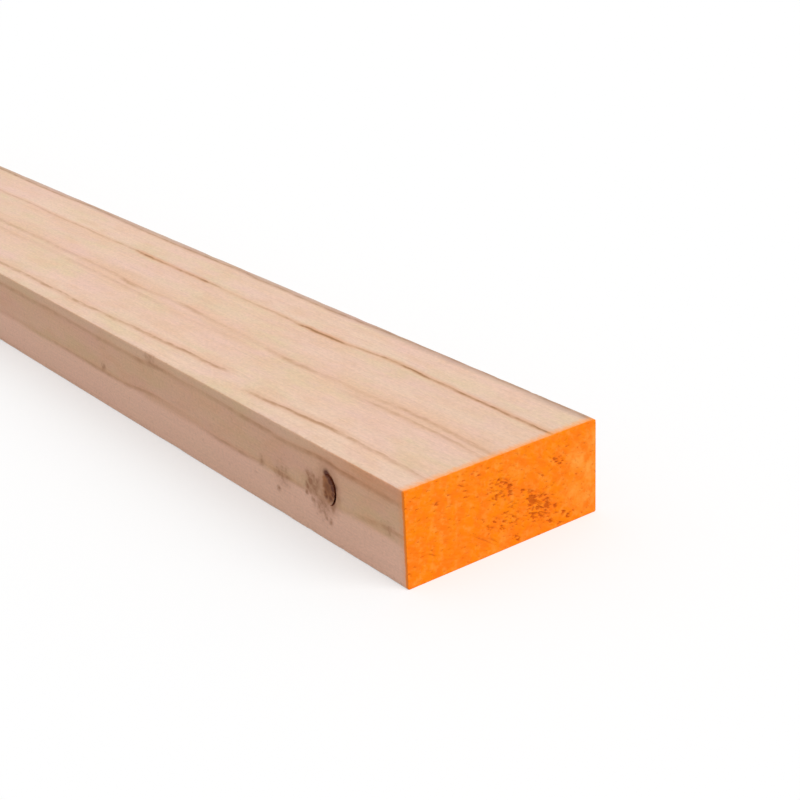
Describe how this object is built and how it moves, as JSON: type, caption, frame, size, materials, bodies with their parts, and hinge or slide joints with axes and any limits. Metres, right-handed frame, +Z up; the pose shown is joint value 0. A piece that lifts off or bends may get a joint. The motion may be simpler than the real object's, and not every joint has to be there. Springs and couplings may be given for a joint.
{
  "type": "timber plank",
  "caption": "Planed softwood plank of rectangular section, with eased long edges, square sawn ends, paint on an end and a small dead knot in a side face.",
  "frame": {"origin": "under the middle of the plank, on the wide face that it lies on", "axes": "+X along the plank towards its painted end, +Y across its width away from the side face with the knot, +Z up through its thickness"},
  "size_m": [2.4384, 0.089, 0.038],
  "materials": {
    "softwood": "planed, unfinished, with orange paint on one end"
  },
  "bodies": {
    "root": {"plank": "softwood"}
  },
  "joints": []
}
